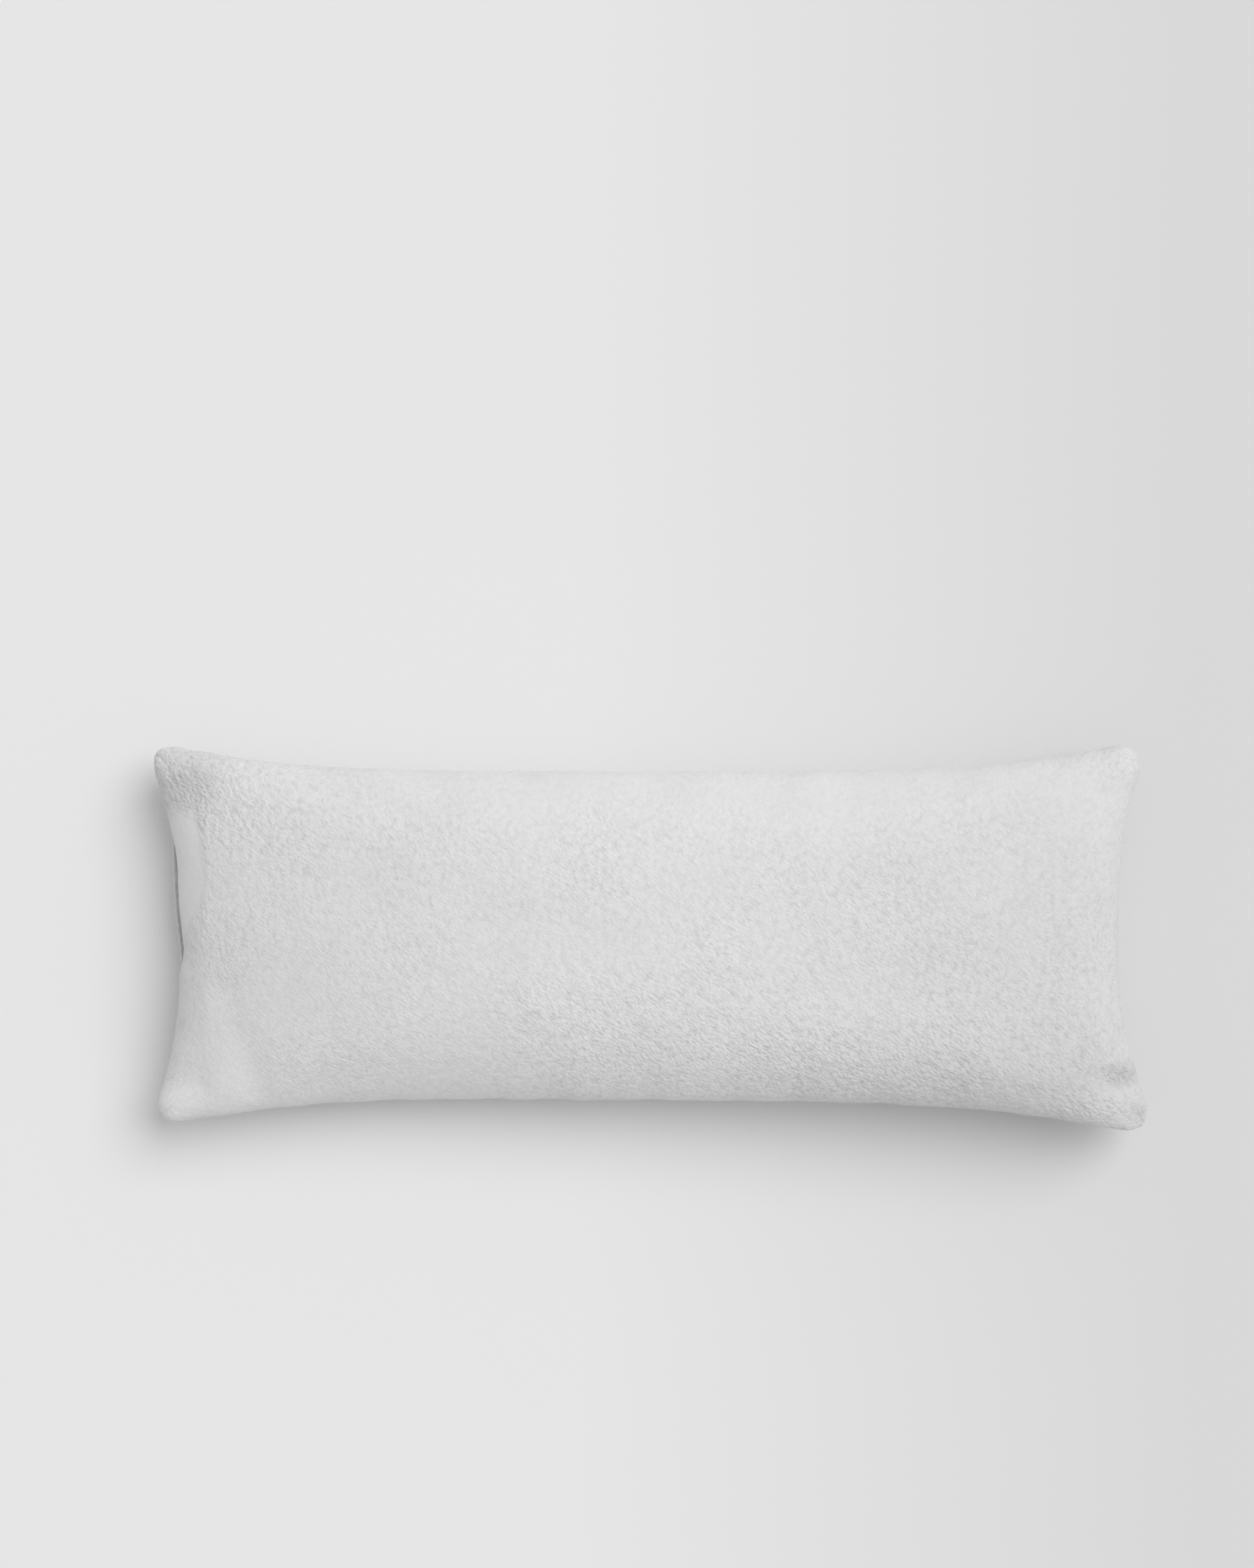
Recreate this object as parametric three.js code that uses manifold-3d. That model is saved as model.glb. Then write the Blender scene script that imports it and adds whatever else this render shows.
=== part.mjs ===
// A long bed pillow: a fleece cover closed by a zip at one end, round a fibre-filled insert.
// Millimetres. X runs along the pillow, Y across it, Z up. The origin is on the floor under
// the pillow's middle. The zip is in the seam at the -X end and closes towards -Y.

import * as THREE from 'three';
import { mergeVertices } from 'three/addons/utils/BufferGeometryUtils.js';
import Module from 'manifold-3d';

const wasm = await Module();
wasm.setup();

// ---- Driving dimensions of the filled pillow ----
const LENGTH = 1356;        // between the ends' sharp corners, before these are rounded
const WIDTH = 527;          // between the sides' sharp corners
const CROWN = 110;          // rise of the upper face above the seam
const BELLY = 98;           // fall of the lower face below the seam, if nothing pressed on it
const FLOOR_PRESS = 18;     // how far the floor presses the belly up flat
const END_PULL = 44;        // how far each end seam bows in between its corners
const SIDE_PULL = 41;       // how far each long seam bows in between its corners
const CORNER_RADIUS = 40;   // of the outline's corners
const END_BOW_POWER = 2.3;  // a low power spreads the bow along the whole seam
const SIDE_BOW_POWER = 4.5; // a high one leaves the seam straight along the middle
const CROWN_POWER = 6;      // how late the crown falls towards the ends
const PLUMPNESS = 0.55;     // 0.5 is an elliptical section, 1 a parabolic one

// ---- Cloth and fill ----
const COVER_WALL = 6;       // fleece backing with its pile
const COVER_SEAM = 8;       // outline to the inside of the cover, at the seam
const COVER_EDGE = 4;       // half height of the cover's edge at the seam
const COVER_LINING_EDGE = 2.2;  // half height of the space inside that edge
const INSERT_EASE = 3;      // room between the cover and the insert over the faces
const INSERT_SIDE_ROOM = 6; // and at the long seams
const INSERT_END_EASE = 2;  // and between the zip's inmost part and the insert's end
const INSERT_END_BOW = 2;   // the insert's ends are nearly straight, so the cover's ears are empty
const INSERT_SIDE_BOW = 24;
const TICKING_WALL = 1.5;
const TICKING_SEAM = 3;     // the insert's outline to the inside of its cloth, at the seam
const TICKING_EDGE = 3;     // half height of the insert's edge at the seam
const TICKING_LINING_EDGE = 1.6;
const FILL_EASE = 1;        // room between the ticking and the fibre over the faces
const FILL_SEAM_ROOM = 5;   // and at the seam
const FILL_EDGE = 1;        // half height of the fibre's edge
const THREAD_WIDTH = 2;     // of an overlocked seam line
const THREAD_HEIGHT = 1.6;
const THREAD_GAP = 1.4;     // seam line to the cloth outside it
const GAP = 0.3;            // between pieces that touch

// ---- Labels: blank cloth tabs sewn into the end seams opposite the zip ----
const CARE_LABEL = { width: 50, height: 24, thickness: 0.6, acrossAt: 32 };
const INSERT_LABEL = { width: 60, height: 20, thickness: 0.6, acrossAt: -36 };
const LABEL_SETBACK = 0.5;  // a label's face to the cover's lining and seam line

// ---- Zip ----
const CHAIN_LENGTH = 300;   // coil from stop to stop
const TAPE_TAIL = 22;       // tape past each end of the coil
const TAPE_WIDTH = 12.2;    // of each tape
const TAPE_THICKNESS = 0.6;
const TAPE_SETBACK = 0.5;   // the tape's face to the cover's lining
const SLIT = 1.6;           // between the two halves of the chain, for the slider's post
const COIL_WIDTH = 2.6;     // of each half
const COIL_THICKNESS = 2.2;
const STOP_LENGTH = 3;
const POST_WIDTH = 0.8;
const SLIDER_LENGTH = 12;
const SLIDER_HEIGHT = 12;   // across the chain
const SLIDER_PLATE = 1.5;
const SLIDER_NOSE = 8;      // the slider's height at its narrow end
const SLIDER_BACK_PLATE = 1.2;
const SLIDER_BACK_HEIGHT = 10;
const SLIDER_ROUND = 1.8;   // radius of the corners at its wide end
const SLIDER_JOIN = 0.2;    // how far its post, flanges and bridge reach into its plates
const FLANGE = 1;
const FLANGE_CLEARANCE = 0.6;  // flange to coil
const STOP_CLEARANCE = 6;   // slider to the stop at the closed end
const SLOT_CLEARANCE = 0.8; // slider to the cover's edges
const BRIDGE_SPAN = 3.2;    // opening of the slider's bridge along the chain
const BRIDGE_RISE = 2.6;    // opening of the bridge above the plate
const BRIDGE_BAR = 0.9;
const BRIDGE_WIDTH = 2;
const TAB_LENGTH = 24;
const TAB_WIDTH = 7;
const TAB_THICKNESS = 1.4;
const TAB_EYE_CLEARANCE = 0.6;  // the tab's eye to the bridge's sides
const TAB_EYE_LENGTH = 3.5;
const TAB_GRIP_HOLE = 1.3;  // radius of the hole near the tab's free end

// ---- Faceting ----
const COLUMNS = 24;         // of each face, along X
const ROWS = 12;            // and along Y
const ARC_STEPS = 8;        // of each small round

const SEAM_HEIGHT = BELLY - FLOOR_PRESS;
const FAR = LENGTH + WIDTH; // past everything, for cutting tools

// ---- Solids and joining ----

function asSolid(geometry) {
  const bare = geometry.clone();
  bare.deleteAttribute('normal');
  bare.deleteAttribute('uv');
  const welded = mergeVertices(bare);
  return new wasm.Manifold(new wasm.Mesh({
    numProp: 3,
    vertProperties: new Float32Array(welded.attributes.position.array),
    triVerts: new Uint32Array(welded.index.array),
  }));
}

function asGeometry(solid) {
  const mesh = solid.getMesh();
  const geometry = new THREE.BufferGeometry();
  geometry.setAttribute('position', new THREE.BufferAttribute(new Float32Array(mesh.vertProperties), 3));
  geometry.setIndex(new THREE.BufferAttribute(new Uint32Array(mesh.triVerts), 1));
  geometry.computeVertexNormals();
  return geometry;
}

// A box between two corners.
function boxBetween(low, high) {
  const size = high.map((value, i) => value - low[i]);
  return new THREE.BoxGeometry(...size).translate(...low.map((value, i) => value + size[i] / 2));
}

const aboveSeam = asSolid(boxBetween([-FAR, -FAR, SEAM_HEIGHT + GAP / 2], [FAR, FAR, FAR]));
const belowSeam = asSolid(boxBetween([-FAR, -FAR, -FAR], [FAR, FAR, SEAM_HEIGHT - GAP / 2]));

// ---- The pillow's form ----
// Every layer, from the fleece in to the fibre, is the same form made smaller: `end` and `side`
// are how far its seam is inside the outline's at the middle of each seam, `endBow` and `sideBow`
// how far those seams bow, `wall` how far its faces are inside the pillow's, and `edge` half its
// height at the seam.

function plan(u, v, layer) {
  const halfLength = LENGTH / 2 - END_PULL - layer.end + layer.endBow;
  const halfWidth = WIDTH / 2 - SIDE_PULL - layer.side + layer.sideBow;
  const x = Math.abs(u) * (halfLength - layer.endBow * (1 - Math.abs(v) ** END_BOW_POWER));
  const y = Math.abs(v) * (halfWidth - layer.sideBow * (1 - Math.abs(u) ** SIDE_BOW_POWER));
  const cornerX = x - (halfLength - CORNER_RADIUS);
  const cornerY = y - (halfWidth - CORNER_RADIUS);
  let rounding = 1;
  if (cornerX > 0 && cornerY > 0) {
    rounding = Math.max(cornerX, cornerY) / Math.hypot(cornerX, cornerY);
  }
  const roundedX = cornerX > 0 ? x - cornerX * (1 - rounding) : x;
  const roundedY = cornerY > 0 ? y - cornerY * (1 - rounding) : y;
  return [Math.sign(u) * roundedX, Math.sign(v) * roundedY];
}

function crownShare(u, v) {
  return (Math.max(0, 1 - Math.abs(u) ** CROWN_POWER) * Math.max(0, 1 - v * v)) ** PLUMPNESS;
}

// Crowds the facets towards the seam.
function crowd(value) {
  return Math.sin(value * Math.PI / 2);
}

function formGeometry(layer) {
  const geometry = new THREE.BoxGeometry(2, 2, 2, COLUMNS, ROWS, 1);
  const position = geometry.attributes.position;
  for (let i = 0; i < position.count; i++) {
    const u = crowd(position.getX(i));
    const v = crowd(position.getY(i));
    const [x, y] = plan(u, v, layer);
    const upper = position.getZ(i) > 0;
    const rise = (upper ? CROWN : BELLY) - layer.wall - layer.edge;
    const height = layer.edge + rise * crownShare(u, v);
    const z = upper ? SEAM_HEIGHT + height : Math.max(layer.wall, SEAM_HEIGHT - height);
    position.setXYZ(i, x, y, z);
  }
  return geometry;
}

// How far inside a layer's end seam, at the middle, its facets have opened to a half height.
function openingDepth(layer, halfHeight) {
  const rise = BELLY - layer.wall - layer.edge;
  let depth = 0;
  let height = layer.edge;
  for (let column = 1; height < halfHeight; column++) {
    const u = crowd(1 - 2 * column / COLUMNS);
    const nextDepth = (1 - u) * (LENGTH / 2 - layer.end - END_PULL);
    const nextHeight = layer.edge + rise * crownShare(u, 0);
    const share = Math.min(1, (halfHeight - height) / (nextHeight - height));
    depth += share * (nextDepth - depth);
    height += share * (nextHeight - height);
  }
  return depth;
}

// ---- Where the zip lies: depths in from the outline's middle at the -X end ----

const coverBow = { endBow: END_PULL, sideBow: SIDE_PULL };
const insertBow = { endBow: INSERT_END_BOW, sideBow: INSERT_SIDE_BOW };
const coverOuter = { ...coverBow, end: 0, side: 0, wall: 0, edge: COVER_EDGE };
const coverInner = {
  ...coverBow,
  end: COVER_SEAM,
  side: COVER_SEAM,
  wall: COVER_WALL,
  edge: COVER_LINING_EDGE,
};

const tapeTop = SLIT / 2 + TAPE_WIDTH;
const tapeDepth = COVER_SEAM + openingDepth(coverInner, tapeTop) + TAPE_SETBACK;
const coilDepth = tapeDepth - GAP - COIL_THICKNESS;
const plateDepth = coilDepth - GAP - SLIDER_PLATE;
const backPlateDepth = tapeDepth + TAPE_THICKNESS + GAP;
const sliderInmost = backPlateDepth + SLIDER_BACK_PLATE;
const tabDepth = plateDepth - BRIDGE_RISE / 2;   // the tab's hinge line
const zipX = -(LENGTH / 2 - END_PULL);
const sliderClosedY = -(CHAIN_LENGTH / 2 - STOP_CLEARANCE - SLIDER_LENGTH / 2);
const slotHalfHeight = SLIDER_HEIGHT / 2 + SLOT_CLEARANCE;
const tapeHalfLength = CHAIN_LENGTH / 2 + TAPE_TAIL;

const insertEnd = sliderInmost + INSERT_END_EASE;
const insertSide = COVER_SEAM + INSERT_SIDE_ROOM;
const insertWall = COVER_WALL + INSERT_EASE;
const insertOuter = {
  ...insertBow,
  end: insertEnd,
  side: insertSide,
  wall: insertWall,
  edge: TICKING_EDGE,
};
const insertInner = {
  ...insertBow,
  end: insertEnd + TICKING_SEAM,
  side: insertSide + TICKING_SEAM,
  wall: insertWall + TICKING_WALL,
  edge: TICKING_LINING_EDGE,
};
const fillOuter = {
  ...insertBow,
  end: insertInner.end + FILL_SEAM_ROOM,
  side: insertInner.side + FILL_SEAM_ROOM,
  wall: insertInner.wall + FILL_EASE,
  edge: FILL_EDGE,
};

// ---- The object ----

const pillow = new THREE.Group();

function cloth(colour) {
  return new THREE.MeshStandardMaterial({ color: colour, roughness: 0.95, metalness: 0 });
}

function plastic(colour) {
  return new THREE.MeshStandardMaterial({ color: colour, roughness: 0.5, metalness: 0 });
}

function metal(colour) {
  return new THREE.MeshStandardMaterial({ color: colour, roughness: 0.35, metalness: 0.9 });
}

function add(name, geometry, material, parent = pillow) {
  const mesh = new THREE.Mesh(geometry, material);
  mesh.name = name;
  parent.add(mesh);
  return mesh;
}

// ---- Cover: two fleece panels that meet at the seam, with a slot between them for the zip ----

const coverShell = asSolid(formGeometry(coverOuter)).subtract(asSolid(formGeometry(coverInner)));
const zipSlot = asSolid(boxBetween(
  [-FAR, -tapeHalfLength, SEAM_HEIGHT - slotHalfHeight],
  [zipX + tapeDepth + GAP, tapeHalfLength, SEAM_HEIGHT + slotHalfHeight],
));
const slottedShell = coverShell.subtract(zipSlot);
add('cover_top_panel', asGeometry(slottedShell.intersect(aboveSeam)), cloth(0xe6e5e4));
add('cover_bottom_panel', asGeometry(slottedShell.intersect(belowSeam)), cloth(0xdededd));

// ---- Insert: two cotton panels round the fibre ----

const insertShell = asSolid(formGeometry(insertOuter)).subtract(asSolid(formGeometry(insertInner)));
add('insert_top_panel', asGeometry(insertShell.intersect(aboveSeam)), cloth(0xf3f2ee));
add('insert_bottom_panel', asGeometry(insertShell.intersect(belowSeam)), cloth(0xf3f2ee));
add('fibre_fill', formGeometry(fillOuter), cloth(0xfafafa));

// ---- Seam threads: a flat line of overlock stitches just inside each seam ----

function outline(layer) {
  const shape = new THREE.Shape();
  const sides = [
    [COLUMNS, (t) => [t, -1]],
    [ROWS, (t) => [1, t]],
    [COLUMNS, (t) => [-t, 1]],
    [ROWS, (t) => [-1, -t]],
  ];
  const points = sides.flatMap(([steps, at]) => Array.from({ length: steps }, (_, i) => {
    const t = crowd(2 * i / steps - 1);
    return new THREE.Vector2(...plan(...at(t), layer));
  }));
  return shape.setFromPoints(points);
}

function threadRing(layer) {
  const outside = { ...layer, end: layer.end + THREAD_GAP, side: layer.side + THREAD_GAP };
  const inside = { ...layer, end: outside.end + THREAD_WIDTH, side: outside.side + THREAD_WIDTH };
  const shape = outline(outside);
  shape.holes.push(outline(inside));
  const ring = new THREE.ExtrudeGeometry(shape, { depth: THREAD_HEIGHT, bevelEnabled: false });
  return ring.translate(0, 0, SEAM_HEIGHT - THREAD_HEIGHT / 2);
}

// The cover's seam line stops at each end of the zip's tape.
const zipSpan = asSolid(boxBetween(
  [-FAR, -tapeHalfLength - GAP, -FAR],
  [zipX + insertEnd, tapeHalfLength + GAP, FAR],
));
add('cover_seam_thread', asGeometry(asSolid(threadRing(coverInner)).subtract(zipSpan)), cloth(0xd8d8d8));
add('insert_seam_thread', threadRing(insertInner), cloth(0xf0f0ec));

// ---- Labels: each stands on edge between the cover and the insert ----

function addLabel(name, label) {
  const seamLineEnd = THREAD_GAP + THREAD_WIDTH;
  const clear = Math.max(seamLineEnd, openingDepth(coverInner, label.height / 2));
  const depth = COVER_SEAM + clear + LABEL_SETBACK;
  const geometry = new THREE.BoxGeometry(label.thickness, label.width, label.height);
  const mesh = add(name, geometry, cloth(0xffffff));
  mesh.position.set(-zipX - depth - label.thickness / 2, label.acrossAt, SEAM_HEIGHT);
}

addLabel('care_label', CARE_LABEL);
addLabel('insert_label', INSERT_LABEL);

// ---- Zip chain, in a group whose origin is the chain's middle on the outline ----
// In the group X is the depth in from the outline, Y runs along the chain and Z across it.

const zip = new THREE.Group();
zip.position.set(zipX, 0, SEAM_HEIGHT);
pillow.add(zip);

function addZipHalf(side, sign) {
  const inner = SLIT / 2;
  const across = (from, to) => (sign > 0 ? [from, to] : [-to, -from]);
  const [tapeLow, tapeHigh] = across(inner, tapeTop);
  const [coilLow, coilHigh] = across(inner, inner + COIL_WIDTH);
  const chainEnd = CHAIN_LENGTH / 2;
  add(`zip_tape_${side}`, boxBetween(
    [tapeDepth, -tapeHalfLength, tapeLow],
    [tapeDepth + TAPE_THICKNESS, tapeHalfLength, tapeHigh],
  ), cloth(0xb9b7bb), zip);
  add(`zip_coil_${side}`, boxBetween(
    [coilDepth, -chainEnd, coilLow],
    [coilDepth + COIL_THICKNESS, chainEnd, coilHigh],
  ), plastic(0x8f8d92), zip);
  add(`zip_top_stop_${side}`, boxBetween(
    [coilDepth, -chainEnd - GAP - STOP_LENGTH, coilLow],
    [coilDepth + COIL_THICKNESS, -chainEnd - GAP, coilHigh],
  ), metal(0xb5b5b8), zip);
}

addZipHalf('upper', 1);
addZipHalf('lower', -1);

const stopHalfHeight = SLIT / 2 + COIL_WIDTH;
add('zip_bottom_stop', boxBetween(
  [coilDepth, CHAIN_LENGTH / 2 + GAP, -stopHalfHeight],
  [coilDepth + COIL_THICKNESS, CHAIN_LENGTH / 2 + GAP + STOP_LENGTH, stopHalfHeight],
), metal(0xb5b5b8), zip);

// ---- Slider: two plates joined by a post, with flanges round the coil and a bridge outside ----

// An outline in the chain's plane, Y across the page and Z up it, raised along X from a depth.
function plateAt(shape, depth, thickness) {
  const plate = new THREE.ExtrudeGeometry(shape, {
    depth: thickness,
    bevelEnabled: false,
    curveSegments: ARC_STEPS,
  });
  plate.rotateX(Math.PI / 2);
  plate.rotateZ(Math.PI / 2);
  return plate.translate(depth, 0, 0);
}

// The slider's outline: full height over the opening chain, narrower over the closed one.
function sliderShape(height, nose) {
  const half = SLIDER_LENGTH / 2;
  const shape = new THREE.Shape();
  shape.moveTo(-half, -nose / 2);
  shape.lineTo(0, -height / 2);
  shape.lineTo(half - SLIDER_ROUND, -height / 2);
  shape.absarc(half - SLIDER_ROUND, SLIDER_ROUND - height / 2, SLIDER_ROUND, -Math.PI / 2, 0);
  shape.absarc(half - SLIDER_ROUND, height / 2 - SLIDER_ROUND, SLIDER_ROUND, 0, Math.PI / 2);
  shape.lineTo(0, height / 2);
  shape.lineTo(-half, nose / 2);
  return shape;
}

function sliderGeometry() {
  const half = SLIDER_LENGTH / 2;
  const backNose = SLIDER_NOSE * SLIDER_BACK_HEIGHT / SLIDER_HEIGHT;
  const flangeLow = SLIT / 2 + COIL_WIDTH + FLANGE_CLEARANCE;
  const postEnd = half - FLANGE;
  const pieces = [
    plateAt(sliderShape(SLIDER_BACK_HEIGHT, backNose), backPlateDepth, SLIDER_BACK_PLATE),
    boxBetween(
      [plateDepth + SLIDER_JOIN, 0, -POST_WIDTH / 2],
      [backPlateDepth + SLIDER_JOIN, postEnd, POST_WIDTH / 2],
    ),
    boxBetween(
      [plateDepth - BRIDGE_RISE - BRIDGE_BAR, -BRIDGE_SPAN / 2 - BRIDGE_BAR, -BRIDGE_WIDTH / 2],
      [plateDepth - BRIDGE_RISE, BRIDGE_SPAN / 2 + BRIDGE_BAR, BRIDGE_WIDTH / 2],
    ),
  ];
  for (const sign of [-1, 1]) {
    const edges = [sign * flangeLow, sign * (flangeLow + FLANGE)].sort((a, b) => a - b);
    pieces.push(boxBetween(
      [plateDepth + SLIDER_JOIN, -FLANGE, edges[0]],
      [tapeDepth - GAP, postEnd, edges[1]],
    ));
    const legs = [sign * BRIDGE_SPAN / 2, sign * (BRIDGE_SPAN / 2 + BRIDGE_BAR)].sort((a, b) => a - b);
    pieces.push(boxBetween(
      [plateDepth - BRIDGE_RISE - SLIDER_JOIN, legs[0], -BRIDGE_WIDTH / 2],
      [plateDepth + SLIDER_JOIN, legs[1], BRIDGE_WIDTH / 2],
    ));
  }
  const frontPlate = plateAt(sliderShape(SLIDER_HEIGHT, SLIDER_NOSE), plateDepth, SLIDER_PLATE);
  return asGeometry(pieces.reduce((whole, piece) => whole.add(asSolid(piece)), asSolid(frontPlate)));
}

const slider = new THREE.Group();
slider.position.y = sliderClosedY;
zip.add(slider);
add('zip_slider', sliderGeometry(), metal(0x9c9ca0), slider);

// ---- Pull tab: its crossbar turns under the slider's bridge, and at rest it lies towards +Y ----

function tabShape() {
  const half = TAB_WIDTH / 2;
  const bar = TAB_THICKNESS / 2;
  const free = TAB_LENGTH - half;
  const eyeHalf = BRIDGE_WIDTH / 2 + TAB_EYE_CLEARANCE;
  const shape = new THREE.Shape();
  shape.moveTo(-bar, -half);
  shape.lineTo(free, -half);
  shape.absarc(free, 0, half, -Math.PI / 2, Math.PI / 2);
  shape.lineTo(-bar, half);
  const eye = new THREE.Path();
  eye.moveTo(bar, -eyeHalf);
  eye.lineTo(bar, eyeHalf);
  eye.lineTo(bar + TAB_EYE_LENGTH, eyeHalf);
  eye.lineTo(bar + TAB_EYE_LENGTH, -eyeHalf);
  const grip = new THREE.Path();
  grip.absarc(free, 0, TAB_GRIP_HOLE, 0, Math.PI * 2, true);
  shape.holes.push(eye, grip);
  return shape;
}

const tab = new THREE.Group();
tab.position.x = tabDepth;
slider.add(tab);
add('zip_pull_tab', plateAt(tabShape(), -TAB_THICKNESS / 2, TAB_THICKNESS), metal(0x9c9ca0), tab);

export default pillow;
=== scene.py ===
"""A long bed pillow: a fleece cover with a zip in one end, round a fibre-filled cotton insert.

Metres, in the CAD model's frame: X along the pillow away from the zip, Y across it, Z up from
the floor. The two fleece panels are cut flat, sewn round the edge and blown up by a cloth
simulation. Its puckers then go onto the pillow's even form, and every layer inside follows them.
"""
import math

import bpy
import numpy as np
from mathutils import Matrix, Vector


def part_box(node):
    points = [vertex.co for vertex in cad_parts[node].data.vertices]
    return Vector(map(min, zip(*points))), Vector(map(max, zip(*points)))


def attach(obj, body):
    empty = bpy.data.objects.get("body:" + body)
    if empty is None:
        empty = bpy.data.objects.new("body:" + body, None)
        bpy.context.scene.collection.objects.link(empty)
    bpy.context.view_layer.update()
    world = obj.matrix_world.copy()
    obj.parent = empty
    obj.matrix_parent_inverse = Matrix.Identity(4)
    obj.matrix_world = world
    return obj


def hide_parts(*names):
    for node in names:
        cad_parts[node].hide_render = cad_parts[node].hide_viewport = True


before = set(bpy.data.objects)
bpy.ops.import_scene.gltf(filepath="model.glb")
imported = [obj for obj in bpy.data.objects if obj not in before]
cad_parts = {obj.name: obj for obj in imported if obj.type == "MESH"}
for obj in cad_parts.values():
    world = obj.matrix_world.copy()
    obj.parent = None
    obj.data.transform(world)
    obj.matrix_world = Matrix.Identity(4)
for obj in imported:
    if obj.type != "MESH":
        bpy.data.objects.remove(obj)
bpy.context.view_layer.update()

# ---- The filled pillow ----
PANEL_LENGTH, PANEL_WIDTH = 1.372, 0.508   # each fleece panel as cut, seam to seam
END_BOW, SIDE_BOW = 0.0488, 0.0441         # how far the seams pull in between the corners
END_BOW_POWER, SIDE_BOW_POWER = 2.3, 4.5
CORNER_RADIUS = 0.040
CORNER_BLUNT = 0.010                       # how far a corner's point is pushed in
BLUNT_POWERS = (26, 10)                    # along X and Y: high ones keep that close to the corner
END_ROUNDING, SIDE_ROUNDING = 0.0165, 0.0126   # an edge's line to its corner's rounded end
CROWN_POWER, PLUMPNESS = 6, 0.55
END_SLOPE = 0.06         # share of the crown's height that is lost towards the ends
BELLY = 0.098            # fall of the lower face below the seam, if nothing pressed on it
PRESS_SOFTNESS = 0.004   # how gently the belly turns flat where it meets the floor
FLOOR_GAP = 0.0004
PRESSED_PILE = 0.0011    # the pile under the belly is pressed down to about this

# How the real outline departs from the even one at each corner, (end, side): (X, Y). End 0 is
# the middle of a side.
EARS = {
    (0, -1): (0.0, 0.007),
    (-1, 1): (-0.008, 0.003),
    (1, 1): (-0.009, 0.006),
    (-1, -1): (0.001, 0.008),
    (1, -1): (0.008, -0.007),
}
EAR_REACH = 3            # a high number keeps an ear's shift close to its corner
MIDDLE_REACH = 4         # a high number takes the middle's shift further along its side

# Where the cloth lies higher or lower than the even form: centre, reach, rise.
RISES = [
    ((0.42, -0.26), (0.30, 0.12), 0.032),      # the near side is lifted off the floor
    ((-0.32, -0.26), (0.16, 0.10), -0.018),    # towards its far end, and lower towards the zip
    ((0.665, -0.255), (0.035, 0.035), -0.034),    # its ear hangs
    ((-0.675, 0.260), (0.050, 0.050), -0.008),    # and so does the one across from it
]

# ---- Cloth and fill ----
FLEECE = 0.0055          # backing and pile together
PILE_ROOM = 0.0022       # kept free under the CAD crown for the pile
TICKING = 0.0012
SEAM_GAP = 0.0003        # between two panels' edges
COLUMNS, ROWS = 124, 46  # cells of the simulated cloth, along X and Y
FINE = 4                 # fleece cells to each of those, along X and along Y
INSERT_FINE = 2
SECTION_STEPS = 4000     # for measuring the cloth across a section of the pillow

# ---- Cloth simulation ----
SIM_FRAMES = 36
SIM_PRESSURE = 1.0
SIM_START_HEIGHT = 0.02
SIM_EVENED = 2           # rounds of evening out what the simulation adds
SIM_GAIN = 0.8           # share of the simulated puckers that the cloth keeps
SIM_CAP = 0.012          # the most that a point may leave the even form
STILL_ENDS = (0.57, 0.61)    # from here out along X, beside the zip and the labels, it doesn't
STILL_WIDTH = (0.19, 0.22)   # and within this of the middle across Y

# ---- Pile ----
TABLE = 512              # the tables behind the noise repeat after this many cells
CURL = 0.0058            # across one curl
CURL_HEIGHT = 0.0013
CURL_STRETCH = 1.25      # a curl's length to its width
CURL_LAY = math.radians(-35)
TUFT = 0.016             # across a group of curls that lean together
TUFT_HEIGHT = 0.0008
CURL_SPREAD = 0.75       # how widely a curl falls off: more makes them run together
SHORT_CURLS = 0.55       # height of the shortest curls, as a share of the tallest
CURL_BEND, BEND_REACH = 1.1, 2.5   # how far rows of curls wander and how soon, in curls
NAP_EVEN, NAP_SPREAD, NAP_PATCH = 0.75, 0.5, 0.08   # ruffle, its variation, and a patch's size
NAP_LIMITS = (0.08, 2.0)
PILE_BASE = 0.25         # share of the pile's height that is there however it is pressed
FLOOR_CRUSH = 0.7        # share of it that is crushed where it meets the floor
CALM_TIP = 0.6           # how light smooth pile is, between hollow (0) and tip (1)
SEAM_GROOVE = 0.006      # width of cloth over which the pile rises from a seam

# Patches of the upper face where the pile is more or less ruffled: centre, reach, gain.
NAP = [
    ((-0.60, 0.205), (0.09, 0.07), 1.20),    # ruffled at the corner by the zip
    ((0.30, -0.16), (0.32, 0.08), 0.60),
    ((0.633, -0.180), (0.024, 0.018), 1.20),    # and in the fold behind the near ear
    ((0.60, -0.225), (0.06, 0.02), 0.50),
    ((-0.56, -0.17), (0.17, 0.10), -0.28),   # pressed smooth below the zip
    ((0.00, 0.205), (0.60, 0.04), -0.45),    # along the far side
    ((0.640, -0.145), (0.016, 0.014), -0.50),
    ((0.645, -0.215), (0.022, 0.016), -0.55),    # and on the near ear
]

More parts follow.
